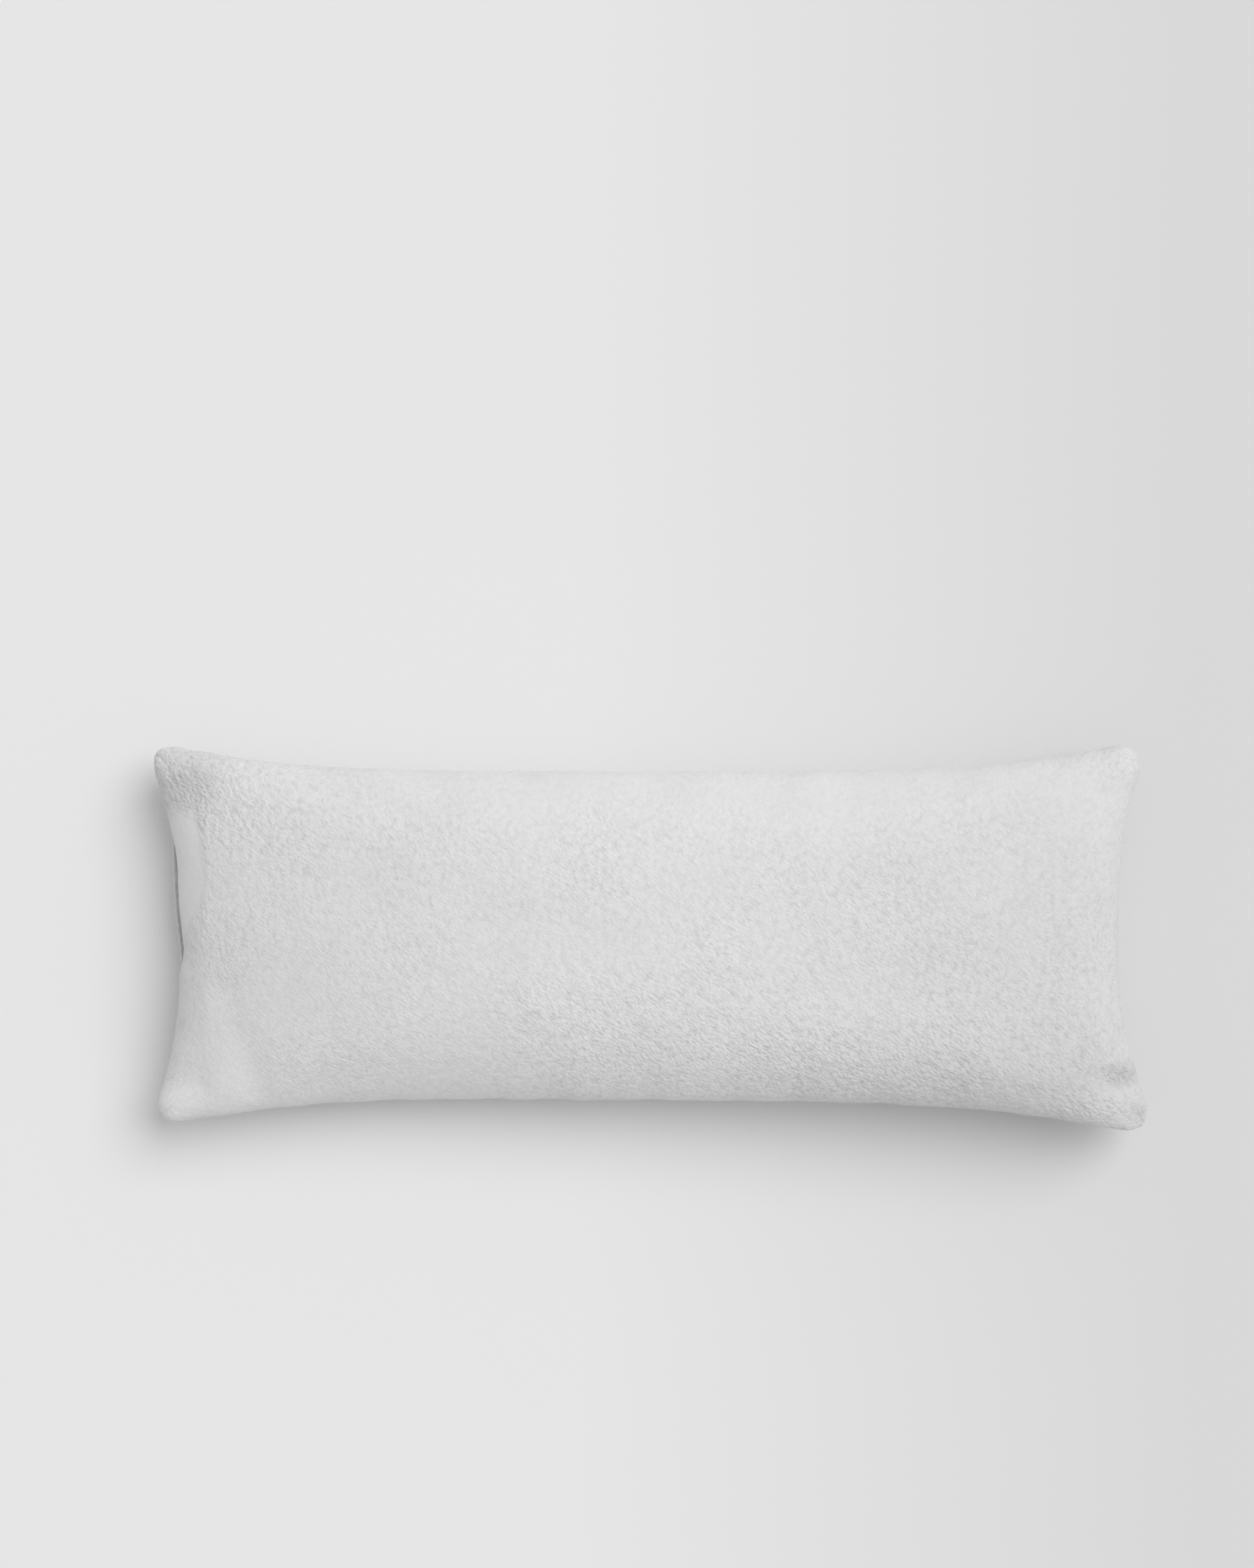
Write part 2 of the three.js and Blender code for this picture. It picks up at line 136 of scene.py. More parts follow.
# Patches of the upper face painted darker or lighter: some for pile brushed darker or lighter, the
# others painted light and shade where the light falls off, a fold shades the pile or the near edge
# turns into shade: centre, reach, gain.
NAP_AND_PAINTED_LIGHT_TONES = [
    ((-0.625, 0.212), (0.042, 0.045), -0.15),
    ((-0.665, 0.245), (0.025, 0.025), 0.05),
    ((-0.50, -0.02), (0.30, 0.26), -0.075),
    ((-0.25, 0.17), (0.35, 0.10), -0.015),
    # painted light along the near edge, where its turn into shade darkens it
    ((-0.27, -0.230), (0.40, 0.045), 0.095),
    ((0.10, -0.245), (0.60, 0.025), 0.085),
    # painted shade where the light falls off towards the far end
    ((0.70, -0.02), (0.42, 0.30), -0.12),
    ((0.42, -0.200), (0.32, 0.06), -0.09),
    ((0.52, -0.185), (0.13, 0.06), -0.035),
    # painted shade in the fold behind the near ear
    ((0.633, -0.180), (0.022, 0.014), -0.05),
    ((-0.631, -0.114), (0.008, 0.009), -0.06),
    # painted highlights on the ridges of the near ear
    ((0.640, -0.145), (0.016, 0.014), 0.03),
    ((0.645, -0.215), (0.025, 0.020), 0.03),
]
BAND_TONE = 0.04
ZIP_SHADE = 0.80         # painted shade on the cover's turned edge, inside the zip's mouth: how dark it is

# Soft folds of the upper face: start, end, half width, depth.
CREASES = [
    ((-0.565, -0.070), (-0.525, -0.205), 0.024, 0.0030),
    ((0.595, -0.184), (0.640, -0.192), 0.014, 0.0042),
]

# ---- Zip mouth ----
MOUTH = 0.0073           # half its opening
MOUTH_FULL, MOUTH_END = 0.152, 0.180   # half lengths: fully open, and shut
LIP_ROLL, LIP_EDGE = 0.002, 0.004      # how far a lip's edge is turned in, and over what height
ZIP_SIDE = -0.5          # X below this is at the zip's end
UPPER_LIP_SETBACK, SETBACK_REACH = 0.008, 0.060
LIPS_OUT, LIPS_REACH = 0.0112, 0.045    # how far both lips stand out, and up to what height
LIPS_MIDDLE, LIPS_SPAN = 0.055, 0.078   # where along the zip they do
TAPE_GAP = 0.0006        # the cover's turned edge to the tape behind it
ROLL_IN, ROLL_UP, ROLL_REACH = 0.004, 0.006, 0.025   # the seam at the far end
PARTING_START, PARTING_END = (-0.055, -0.015), (0.085, 0.170)   # where the upper lip sits back
ROLL_ENDS, ROLL_WIDTH = (0.56, 0.61), (0.18, 0.23)   # the roll fades in along X and out along Y
BAND_WIDTH, BAND_TAPER, BAND_TOP = 0.045, (-0.02, 0.08), (0.155, 0.185)   # the smooth strip
BAND_EDGE, BAND_CALM = (0.8, 1.1), 0.9   # where across its width it ends, and how smooth it is
ZIP_GRAIN = 0.004        # size of the grains in its painted shade

# ---- Insert, seams and zip coil ----
INSERT_WALL = 0.0095     # the pillow's face to the insert's
FIBRE_WALL = 0.0125
INSERT_BOWS = (0.002, 0.024)
INSERT_ROUNDINGS = (0.0014, 0.0060)
INSERT_EARS = {(0, -1): (0.0, 0.007)}    # and it gives way where the cover's near side does
WRINKLE, WRINKLE_SIZE = 0.0012, 0.03     # of the ticking
LUMPS = ((0.003, 0.035), (0.001, 0.009))   # of the fibre: depth, size
STITCH, STITCH_WIDTH = 0.0032, 0.002
STITCH_ACROSS, STITCH_UP = 0.4, 0.35     # the zigzag's reach, as a share of the CAD seam line
THREAD_RADIUS, THREAD_SIDES = 0.00022, 5
LABEL_THICKNESS, LABEL_CELLS = 0.00035, (40, 16)
COIL_WIRE, COIL_PITCH, COIL_STEPS, COIL_SIDES = 0.00032, 0.00125, 10, 6

# ---- Colours, light and camera ----
# Painted shade: the pile's hollows are coloured darker than its tips.
FLEECE_HOLLOW, FLEECE_TIP = 0.56, 0.65
WORM_STRETCH, WORM_LAY, WORM_DEPTH = (0.6, 1.0, 1.0), math.radians(35), 0.0022
# The floor gets painted shade: darker along X towards the far end, where the light falls off.
FLOOR_TONE, FLOOR_FAR_SHADED_TONE, FLOOR_SHADE_FADE, FLOOR_HALF = 0.795, 0.69, (-0.1, 0.75), 30.0
KEY_FROM, KEY_SOFTNESS, KEY_STRENGTH = (0.58, 0.5, 1.0), math.radians(45), 1.75
AMBIENT = 0.55
SENSOR = 36              # the camera's, in mm
VIEW_DISTANCE = 4.0
VIEW_FIELD = 2.122       # of the seam's plane, along the picture's long side
VIEW_CENTRE = (-0.032, 0.2077)

# ---- What the frame says ----
top_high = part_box("cover_top_panel")[1]
tape_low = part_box("zip_tape_upper")[0]
SEAM_Z = (tape_low.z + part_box("zip_tape_lower")[1].z) / 2
CROWN = top_high.z - SEAM_Z
HALF_LENGTH = top_high.x + END_ROUNDING
HALF_WIDTH = top_high.y + SIDE_ROUNDING
COVER_SIZES = (HALF_LENGTH, HALF_WIDTH, END_BOW, SIDE_BOW, EARS)


# ---- Numbers over the cloth ----

def smooth_step(value, low, high):
    """0 below low, 1 above high, and smooth between."""
    t = np.clip((value - low) / (high - low), 0, 1)
    return t * t * (3 - 2 * t)


def table_cells(x, y, cell):
    """The column and row of a repeating table of numbers that a place falls in."""
    return np.floor(x / cell).astype(int), np.floor(y / cell).astype(int)


def noise(x, y, cell, seed):
    """Smooth noise from 0 to 1, with features about one cell across."""
    table = np.random.default_rng(seed).random((TABLE, TABLE))
    column, row = table_cells(x, y, cell)
    across = smooth_step(x / cell - column, 0, 1)
    along = smooth_step(y / cell - row, 0, 1)
    corner = [[table[(column + i) % TABLE, (row + j) % TABLE] for j in (0, 1)] for i in (0, 1)]
    low = corner[0][0] * (1 - across) + corner[1][0] * across
    high = corner[0][1] * (1 - across) + corner[1][1] * across
    return low * (1 - along) + high * along


def curls(x, y, cell, seed):
    """Rounded curls packed over the cloth, from 0 between them to 1 on the tallest."""
    tables = np.random.default_rng(seed).random((3, TABLE, TABLE))
    column, row = table_cells(x, y, cell)
    best = np.zeros_like(x)
    for i in (-1, 0, 1):
        for j in (-1, 0, 1):
            shift_x, shift_y, tall = tables[:, (column + i) % TABLE, (row + j) % TABLE]
            away = (x / cell - column - i - shift_x) ** 2 + (y / cell - row - j - shift_y) ** 2
            height = SHORT_CURLS + (1 - SHORT_CURLS) * tall
            best = np.maximum(best, height * (1 - away / CURL_SPREAD))
    return best


def spot(x, y, centre, reach):
    """1 at the centre of a soft oval and 0 well outside it."""
    return np.exp(-((x - centre[0]) / reach[0]) ** 2 - ((y - centre[1]) / reach[1]) ** 2)


# ---- The pillow's form: arrays of points [column, row, xyz] ----

def even_steps(cells, reach, power):
    """Values from -1 to 1 that cut a section of the pillow's top into equal lengths of cloth."""
    t = np.linspace(0, 1, SECTION_STEPS + 1)
    height = CROWN * (1 - t ** power) ** PLUMPNESS
    cloth = np.concatenate([[0], np.cumsum(np.hypot(np.diff(t * reach), np.diff(height)))])
    half = np.interp(np.linspace(0, cloth[-1], cells // 2 + 1), cloth, t)
    return np.concatenate([-half[:0:-1], half])


def cloth_grid(columns, rows):
    """The cloth's own coordinates u and v, each from -1 to 1."""
    u = even_steps(columns, HALF_LENGTH - END_BOW, CROWN_POWER)
    v = even_steps(rows, HALF_WIDTH - SIDE_BOW, 2)
    return np.meshgrid(u, v, indexing="ij")


def plan(u, v, half_length, half_width, end_bow, side_bow, ears):
    """Where cloth point (u, v) lies inside a rounded outline whose sides pull in."""
    x = np.abs(u) * (half_length - end_bow * (1 - np.abs(v) ** END_BOW_POWER))
    y = np.abs(v) * (half_width - side_bow * (1 - np.abs(u) ** SIDE_BOW_POWER))
    blunt = CORNER_BLUNT * np.abs(u) ** BLUNT_POWERS[0] * np.abs(v) ** BLUNT_POWERS[1]
    x, y = x - blunt, y - blunt
    corner_x = np.maximum(0, x - (half_length - CORNER_BLUNT - CORNER_RADIUS))
    corner_y = np.maximum(0, y - (half_width - CORNER_BLUNT - CORNER_RADIUS))
    reach = np.maximum(np.hypot(corner_x, corner_y), 1e-9)
    cut = 1 - np.maximum(corner_x, corner_y) / reach
    x = np.sign(u) * (x - corner_x * cut * (reach > 1e-8))
    y = np.sign(v) * (y - corner_y * cut * (reach > 1e-8))
    for (end, side), (shift_x, shift_y) in ears.items():
        along = np.clip(end * u, 0, 1) if end else 1 - u ** MIDDLE_REACH
        weight = (along * np.clip(side * v, 0, 1)) ** EAR_REACH
        x = x + shift_x * weight
        y = y + shift_y * weight
    return x, y


def form(columns, rows, side, wall=0.0, sizes=COVER_SIZES):
    """The upper (side 1) or lower (side -1) face of a layer of the even pillow.

    wall is how far its face is inside the pillow's, and sizes are those of its outline.
    """
    u, v = cloth_grid(columns, rows)
    x, y = plan(u, v, *sizes)
    share = (np.clip(1 - np.abs(u) ** CROWN_POWER, 0, 1) * np.clip(1 - v * v, 0, 1)) ** PLUMPNESS
    rise = CROWN - PILE_ROOM if side > 0 else BELLY
    slope = 1 - END_SLOPE * np.abs(u) ** 2 if side > 0 else 1
    z = SEAM_Z + side * (SEAM_GAP / 2 + (rise - wall) * share * slope)
    return np.stack([x, y, z], axis=2)


def lifted(grid):
    """A grid raised and lowered where the real pillow's edge is."""
    grid = grid.copy()
    for centre, reach, rise in RISES:
        grid[..., 2] += rise * spot(grid[..., 0], grid[..., 1], centre, reach)
    return grid


def pressed(grid, floor):
    """A lower face with its belly turned flat where it meets a floor."""
    grid = grid.copy()
    above = (grid[..., 2] - floor) / PRESS_SOFTNESS
    grid[..., 2] = floor + PRESS_SOFTNESS * np.logaddexp(0, above)
    return grid


def normals_of(grid, side):
    """Unit normals of a grid that point out of the pillow."""
    normal = np.cross(np.gradient(grid, axis=0), np.gradient(grid, axis=1)) * side
    return normal / np.maximum(np.linalg.norm(normal, axis=2, keepdims=True), 1e-12)


def upsample(grid, times):
    """A grid with each cell cut into times x times cells, on a Catmull-Rom surface."""
    for axis in (0, 1):
        g = np.moveaxis(grid, axis, 0)
        padded = np.concatenate([2 * g[:1] - g[1:2], g, 2 * g[-1:] - g[-2:-1]])
        p0, p1, p2, p3 = padded[:-3], padded[1:-2], padded[2:-1], padded[3:]
        steps = []
        for t in np.arange(times) / times:
            bend = (2 * p0 - 5 * p1 + 4 * p2 - p3) * t ** 2 + (3 * p1 - p0 - 3 * p2 + p3) * t ** 3
            steps.append(p1 + 0.5 * ((p2 - p0) * t + bend))
        fine = np.stack(steps, axis=1).reshape(-1, *g.shape[1:])
        grid = np.moveaxis(np.concatenate([fine, g[-1:]]), 0, axis)
    return grid


def relaxed(grid, rounds):
    """A grid evened out, inside its edge and along it."""
    for _ in range(rounds):
        for axis in (0, 1):
            g = np.moveaxis(grid.copy(), axis, 0)
            g[1:-1] = 0.5 * g[1:-1] + 0.25 * (g[:-2] + g[2:])
            grid = np.moveaxis(g, 0, axis)
    return grid


# ---- Meshes ----

def new_piece(name, points, faces, material, flat_faces=0):
    """An object from points and faces, of which the last flat_faces aren't shaded smooth."""
    mesh = bpy.data.meshes.new(name)
    mesh.from_pydata(np.asarray(points).tolist(), [], faces)
    smooth = [True] * (len(faces) - flat_faces) + [False] * flat_faces
    mesh.polygons.foreach_set("use_smooth", smooth)
    mesh.materials.append(material)
    piece = bpy.data.objects.new(name, mesh)
    bpy.context.scene.collection.objects.link(piece)
    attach(piece, "pillow")
    return piece


def grid_faces(columns, rows, first, up):
    """Quads over a grid of (columns + 1) x (rows + 1) points numbered from first."""
    i, j = np.meshgrid(np.arange(columns), np.arange(rows), indexing="ij")
    a = first + i * (rows + 1) + j
    quads = np.stack([a, a + rows + 1, a + rows + 2, a + 1], axis=-1).reshape(-1, 4)
    return (quads if up else quads[:, ::-1]).tolist()


def rim_of(columns, rows, first):
    """The numbers of a grid's edge points, once round anticlockwise from above."""
    stride = rows + 1
    south = [first + i * stride for i in range(columns)]
    east = [first + columns * stride + j for j in range(rows)]
    north = [first + i * stride + rows for i in range(columns, 0, -1)]
    west = [first + j for j in range(rows, 0, -1)]
    return south + east + north + west


def shell(outer, inner, side):
    """Points and faces of a closed thin panel between a fine grid and a coarser one inside it."""
    fine_columns, fine_rows = outer.shape[0] - 1, outer.shape[1] - 1
    columns, rows = inner.shape[0] - 1, inner.shape[1] - 1
    first_inner = outer.shape[0] * outer.shape[1]
    points = np.concatenate([outer.reshape(-1, 3), inner.reshape(-1, 3)])
    faces = grid_faces(fine_columns, fine_rows, 0, side > 0)
    faces += grid_faces(columns, rows, first_inner, side < 0)
    outer_rim = rim_of(fine_columns, fine_rows, 0)
    inner_rim = rim_of(columns, rows, first_inner)
    ratio = len(outer_rim) // len(inner_rim)
    for k, corner in enumerate(inner_rim):
        after = inner_rim[(k + 1) % len(inner_rim)]
        edge = [outer_rim[(k * ratio + s) % len(outer_rim)] for s in range(ratio + 1)]
        face = edge[::-1] + [corner, after]
        faces.append(face if side > 0 else face[::-1])
    return points, faces, len(inner_rim)


def body_between(upper, lower):
    """Points and faces of one closed body between two grids that share their edge."""
    columns, rows = upper.shape[0] - 1, upper.shape[1] - 1
    first_lower = upper.shape[0] * upper.shape[1]
    points = np.concatenate([upper.reshape(-1, 3), lower.reshape(-1, 3)])
    same = dict(zip(rim_of(columns, rows, first_lower), rim_of(columns, rows, 0)))
    faces = grid_faces(columns, rows, 0, True)
    faces += [[same.get(k, k) for k in quad] for quad in grid_faces(columns, rows, first_lower, False)]
    used = sorted({k for face in faces for k in face})
    renumber = {old: new for new, old in enumerate(used)}
    return points[used], [[renumber[k] for k in face] for face in faces]


def tube(path, radius, sides, reference, closed=False):
    """Points and faces of a round thread along a path. reference is never along the path."""
    if closed:
        wrapped = np.concatenate([path[-1:], path, path[:1]])
        tangent = wrapped[2:] - wrapped[:-2]
    else:
        tangent = np.gradient(path, axis=0)
    tangent /= np.linalg.norm(tangent, axis=1, keepdims=True)
    across = np.cross(tangent, reference)
    across /= np.linalg.norm(across, axis=1, keepdims=True)
    up = np.cross(tangent, across)
    turn = np.arange(sides) * 2 * math.pi / sides
    ring = np.cos(turn)[None, :, None] * across[:, None] + np.sin(turn)[None, :, None] * up[:, None]
    points = (path[:, None] + radius * ring).reshape(-1, 3)
    count = len(path)
    faces = []
    for i in range(count if closed else count - 1):
        for k in range(sides):
            after, beside = (i + 1) % count, (k + 1) % sides
            faces.append([i * sides + k, i * sides + beside, after * sides + beside, after * sides + k])
    if not closed:
        faces.append(list(range(sides))[::-1])
        faces.append([(count - 1) * sides + k for k in range(sides)])
    return points, faces


# ---- Cloth simulation of the cover ----

def read_grids(body, first_lower):
    """The upper and lower grids of a simulated body, as it stands at the current frame."""
    evaluated = body.evaluated_get(bpy.context.evaluated_depsgraph_get())
    points = np.empty(len(evaluated.data.vertices) * 3)
    evaluated.data.vertices.foreach_get("co", points)
    points = points.reshape(-1, 3)
    upper = points[:first_lower].reshape(COLUMNS + 1, ROWS + 1, 3)
    lower = upper.copy()
    lower[1:-1, 1:-1] = points[first_lower:].reshape(COLUMNS - 1, ROWS - 1, 3)
    return upper, lower


def blown_up():
    """Two flat panels sewn round their edge, blown up until the cloth is tight."""
    u, v = np.meshgrid(np.linspace(-1, 1, COLUMNS + 1), np.linspace(-1, 1, ROWS + 1), indexing="ij")
    lift = SIM_START_HEIGHT * ((1 - u ** CROWN_POWER) * (1 - v * v)) ** PLUMPNESS
    flat = [np.stack([u * PANEL_LENGTH / 2, v * PANEL_WIDTH / 2, side * lift], axis=2)
            for side in (1, -1)]
    points, faces = body_between(*flat)
    mesh = bpy.data.meshes.new("cloth_sim")
    mesh.from_pydata(points.tolist(), [], faces)
    body = bpy.data.objects.new("cloth_sim", mesh)
    scene = bpy.context.scene
    scene.collection.objects.link(body)
    cloth = body.modifiers.new("cloth", "CLOTH").settings
    cloth.quality = 5
    cloth.mass = 0.25
    cloth.tension_stiffness = 20
    cloth.compression_stiffness = 20
    cloth.shear_stiffness = 8
    cloth.bending_stiffness = 4
    cloth.air_damping = 2
    cloth.use_pressure = True
    cloth.uniform_pressure_force = SIM_PRESSURE
    cloth.effector_weights.gravity = 0
    for number in range(1, SIM_FRAMES + 1):
        scene.frame_set(number)
    grids = read_grids(body, (COLUMNS + 1) * (ROWS + 1))
    scene.frame_set(1)
    bpy.data.objects.remove(body)
    bpy.data.meshes.remove(mesh)
    return grids


def edge_fitted(grid, target):
    """A grid moved so that its edge lies on the target's edge, and less and less inside it."""
    gap = target - grid
    along = np.linspace(0, 1, grid.shape[0])[:, None, None]
    across = np.linspace(0, 1, grid.shape[1])[None, :, None]
    ends = gap[:1] * (1 - along) + gap[-1:] * along
    sides = gap[:, :1] * (1 - across) + gap[:, -1:] * across
    near = gap[:1, :1] * (1 - along) + gap[-1:, :1] * along
    far = gap[:1, -1:] * (1 - along) + gap[-1:, -1:] * along
    corners = near * (1 - across) + far * across
    return grid + ends + sides - corners


def puckers():
    """What the simulated cloth adds to the even form, for the upper and the lower face."""
    found = {}
    for side, grid in zip((1, -1), blown_up()):
        even = form(COLUMNS, ROWS, side)
        grid = grid.copy()
        rise = np.abs(even[..., 2] - SEAM_Z).max()
        grid[..., 2] *= rise / np.abs(grid[..., 2]).max()
        grid[..., 2] += SEAM_Z
        moved = relaxed(edge_fitted(grid, even) - even, SIM_EVENED) * SIM_GAIN
        size = np.linalg.norm(moved, axis=2, keepdims=True)
        moved *= SIM_CAP * np.tanh(size / SIM_CAP) / np.maximum(size, 1e-9)
        beside_end = smooth_step(np.abs(even[..., 0]), *STILL_ENDS)
        beside_middle = 1 - smooth_step(np.abs(even[..., 1]), *STILL_WIDTH)
        found[side] = moved * (1 - beside_end * beside_middle)[..., None]
    return found


# ---- Materials ----

class Surface:
    """A procedural material under construction. Its textures are in metres of the object."""

    def __init__(self, name, roughness, sheen=0.0, metallic=0.0):
        self.made = bpy.data.materials.new(name)
        self.made.use_nodes = True
        self.nodes = self.made.node_tree.nodes
        self.shader = self.nodes["Principled BSDF"]
        self.shader.inputs["Roughness"].default_value = roughness
        self.shader.inputs["Sheen Weight"].default_value = sheen
        self.shader.inputs["Sheen Roughness"].default_value = 0.5
        self.shader.inputs["Metallic"].default_value = metallic
        self.place = self.nodes.new("ShaderNodeTexCoord").outputs["Object"]

    def link(self, output, socket):
        self.made.node_tree.links.new(output, socket)

    def stretched(self, x, y, z, turn=0.0):
        """The object's place, turned about Z and then scaled by a number along each axis."""
        turned = self.nodes.new("ShaderNodeMapping")
        turned.inputs["Rotation"].default_value = (0, 0, turn)
        self.link(self.place, turned.inputs["Vector"])
        scaled = self.nodes.new("ShaderNodeMapping")
        scaled.inputs["Scale"].default_value = (x, y, z)
        self.link(turned.outputs["Vector"], scaled.inputs["Vector"])
        return scaled.outputs["Vector"]

    def noise(self, size, detail=2.0, place=None):
        """Cloudy noise, with its largest features about one size across."""
        texture = self.nodes.new("ShaderNodeTexNoise")
        texture.inputs["Scale"].default_value = 1 / size
        texture.inputs["Detail"].default_value = detail
        self.link(place or self.place, texture.inputs["Vector"])
        return texture.outputs["Fac"]

    def ribs(self, size, axis, place=None):
        """Bands one size apart across an axis."""
        texture = self.nodes.new("ShaderNodeTexWave")
        texture.bands_direction = axis
        texture.inputs["Scale"].default_value = math.pi / (10 * size)
        self.link(place or self.place, texture.inputs["Vector"])
        return texture.outputs["Fac"]

    def stored(self, name):
        """A number kept on the mesh's points."""
        attribute = self.nodes.new("ShaderNodeAttribute")
        attribute.attribute_name = name
        return attribute.outputs["Fac"]

    def maths(self, operation, first, second=0.0):
        math_node = self.nodes.new("ShaderNodeMath")
        math_node.operation = operation
        for socket, value in zip(math_node.inputs, (first, second)):
            if isinstance(value, (int, float)):
                socket.default_value = value
            else:
                self.link(value, socket)
        return math_node.outputs["Value"]

    def tones(self, factor, low, high, start=0.0, end=1.0):
        """A colour that runs from low to high as factor runs from start to end."""
        ramp = self.nodes.new("ShaderNodeValToRGB")
        ramp.color_ramp.elements[0].position = start
        ramp.color_ramp.elements[0].color = (*low, 1)
        ramp.color_ramp.elements[1].position = end
        ramp.color_ramp.elements[1].color = (*high, 1)
        self.link(factor, ramp.inputs["Fac"])
        return ramp.outputs["Color"]

    def tinted(self, colour, by):
        """One colour multiplied by another."""
        mix = self.nodes.new("ShaderNodeMix")
        mix.data_type = "RGBA"
        mix.blend_type = "MULTIPLY"
        mix.inputs["Factor"].default_value = 1
        self.link(colour, mix.inputs[6])
        self.link(by, mix.inputs[7])
        return mix.outputs[2]

    def rough(self, factor, low, high):
        """Gives the shader a roughness that runs from low to high as factor runs from 0 to 1."""
        spread = self.nodes.new("ShaderNodeMapRange")
        spread.inputs["To Min"].default_value = low
        spread.inputs["To Max"].default_value = high
        self.link(factor, spread.inputs["Value"])
        self.link(spread.outputs["Result"], self.shader.inputs["Roughness"])

    def finished(self, colour, *heights):
        """Takes a colour and bumps, each (height, metres deep), and returns the material."""
        self.link(colour, self.shader.inputs["Base Color"])
        normal = None
        for height, depth in heights:
            bump = self.nodes.new("ShaderNodeBump")
            bump.inputs["Distance"].default_value = depth
            self.link(height, bump.inputs["Height"])
            if normal:
                self.link(normal, bump.inputs["Normal"])
            normal = bump.outputs["Normal"]
        if normal:
            self.link(normal, self.shader.inputs["Normal"])
        return self.made


def grey(value, warmth=0.0):
    """A grey, with its red raised and its blue lowered by its warmth."""
    return (value * (1 + warmth), value, value * (1 - warmth))


def fleece_material():
    """Short curly pile: light tips, hollows in painted shade, and fibres that lie in short worms."""
    look = Surface("fleece_pile", 0.95, sheen=0.25)
    pile = look.tones(look.stored("tip"), grey(FLEECE_HOLLOW), grey(FLEECE_TIP), 0.05, 0.75)
    # The brushed nap's tone, with painted light and shade from the patches on the upper face.
    nap_and_painted_light = look.tones(look.stored("nap_and_painted_light"), grey(0), grey(1.2), 0, 1.2)
    worms = look.noise(0.0034, 2, look.stretched(*WORM_STRETCH, turn=WORM_LAY))
    worms = look.maths("MULTIPLY", worms, look.stored("ruffle"))
    fibres = look.noise(0.0013, 3)
    patches = look.tones(look.noise(0.07), grey(0.975), grey(1.0), 0.35, 0.65)
    colour = look.tinted(look.tinted(pile, nap_and_painted_light), patches)
    colour = look.tinted(colour, look.tones(fibres, grey(0.95), grey(1.0), 0.3, 0.6))
    return look.finished(colour, (worms, WORM_DEPTH), (fibres, 0.0004))


def ticking_material():
    """Plain woven cotton."""
    look = Surface("cotton_ticking", 0.85, sheen=0.1)
    weave = look.maths("MULTIPLY", look.ribs(0.0009, "X"), look.ribs(0.0009, "Y"))
    colour = look.tinted(look.tones(weave, grey(0.66, 0.02), grey(0.82, 0.02)),
                         look.tones(look.noise(0.03), grey(0.95), grey(1.0)))
    return look.finished(colour, (weave, 0.00015), (look.noise(0.006), 0.0006))


def fibre_material():
    """Loose polyester fibre."""
    look = Surface("polyester_fibre", 0.9, sheen=0.4)
    strands = look.noise(0.004, 5, look.stretched(1, 0.25, 1))
    return look.finished(look.tones(strands, grey(0.72), grey(0.92), 0.3, 0.7), (strands, 0.003))


def thread_material():
    """Twisted polyester thread."""
    look = Surface("overlock_thread", 0.7, sheen=0.2)
    twist = look.ribs(0.0007, "DIAGONAL")
    return look.finished(look.tones(twist, grey(0.52), grey(0.68)), (twist, 0.0002))


def label_material():
    """Blank woven satin tape."""
    look = Surface("label_satin", 0.45, sheen=0.1)
    rib = look.ribs(0.0005, "Z")
    colour = look.tinted(look.tones(rib, grey(0.78), grey(0.86)),
                         look.tones(look.noise(0.008), grey(0.94), grey(1.0)))
    return look.finished(colour, (rib, 0.00008))


def tape_material():
    """Herringbone zip tape."""
    look = Surface("zip_tape_cloth", 0.8, sheen=0.1)
    split = look.nodes.new("ShaderNodeSeparateXYZ")
    look.link(look.place, split.inputs["Vector"])
    zigzag = look.maths("PINGPONG", split.outputs["Z"], 0.0016)
    slope = look.maths("ADD", split.outputs["Y"], zigzag)
    twill = look.maths("SINE", look.maths("MULTIPLY", slope, 2 * math.pi / 0.0009))
    height = look.maths("MULTIPLY_ADD", twill, 0.5)
    colour = look.tinted(look.tones(height, grey(0.17), grey(0.25)),
                         look.tones(look.noise(0.01), grey(0.9), grey(1.0)))
    return look.finished(colour, (height, 0.0002))


def coil_material():
    """Drawn nylon, slightly cloudy."""
    look = Surface("nylon_coil", 0.35)
    cloud = look.noise(0.002, 3)
    look.rough(cloud, 0.28, 0.45)
    return look.finished(look.tones(cloud, grey(0.055), grey(0.085)), (cloud, 0.00004))


def metal_material():
    """Plated zinc, lightly brushed along the zip and scuffed."""
    look = Surface("plated_metal", 0.3, metallic=1.0)
    brushed = look.noise(0.0009, 4, look.stretched(1, 0.08, 1))
    scuffs = look.noise(0.004, 5)
    look.rough(look.maths("MULTIPLY", brushed, scuffs), 0.18, 0.6)
    return look.finished(look.tones(scuffs, grey(0.42), grey(0.62)), (brushed, 0.00003))


def floor_material():
    """Smooth pale paper, with painted shade that darkens it along X towards the far end, where the
    light falls off.
    """
    look = Surface("studio_paper", 0.8)
    split = look.nodes.new("ShaderNodeSeparateXYZ")
    look.link(look.place, split.inputs["Vector"])
    spread = look.nodes.new("ShaderNodeMapRange")
    spread.inputs["From Min"].default_value, spread.inputs["From Max"].default_value = FLOOR_SHADE_FADE
    look.link(split.outputs["X"], spread.inputs["Value"])
    painted_falloff = look.tones(spread.outputs["Result"], grey(FLOOR_TONE), grey(FLOOR_FAR_SHADED_TONE))
    grain = look.tones(look.noise(0.5), grey(0.995), grey(1.0))
    return look.finished(look.tinted(painted_falloff, grain), (look.noise(0.0008, 3), 0.00003))


# ---- The fleece cover ----

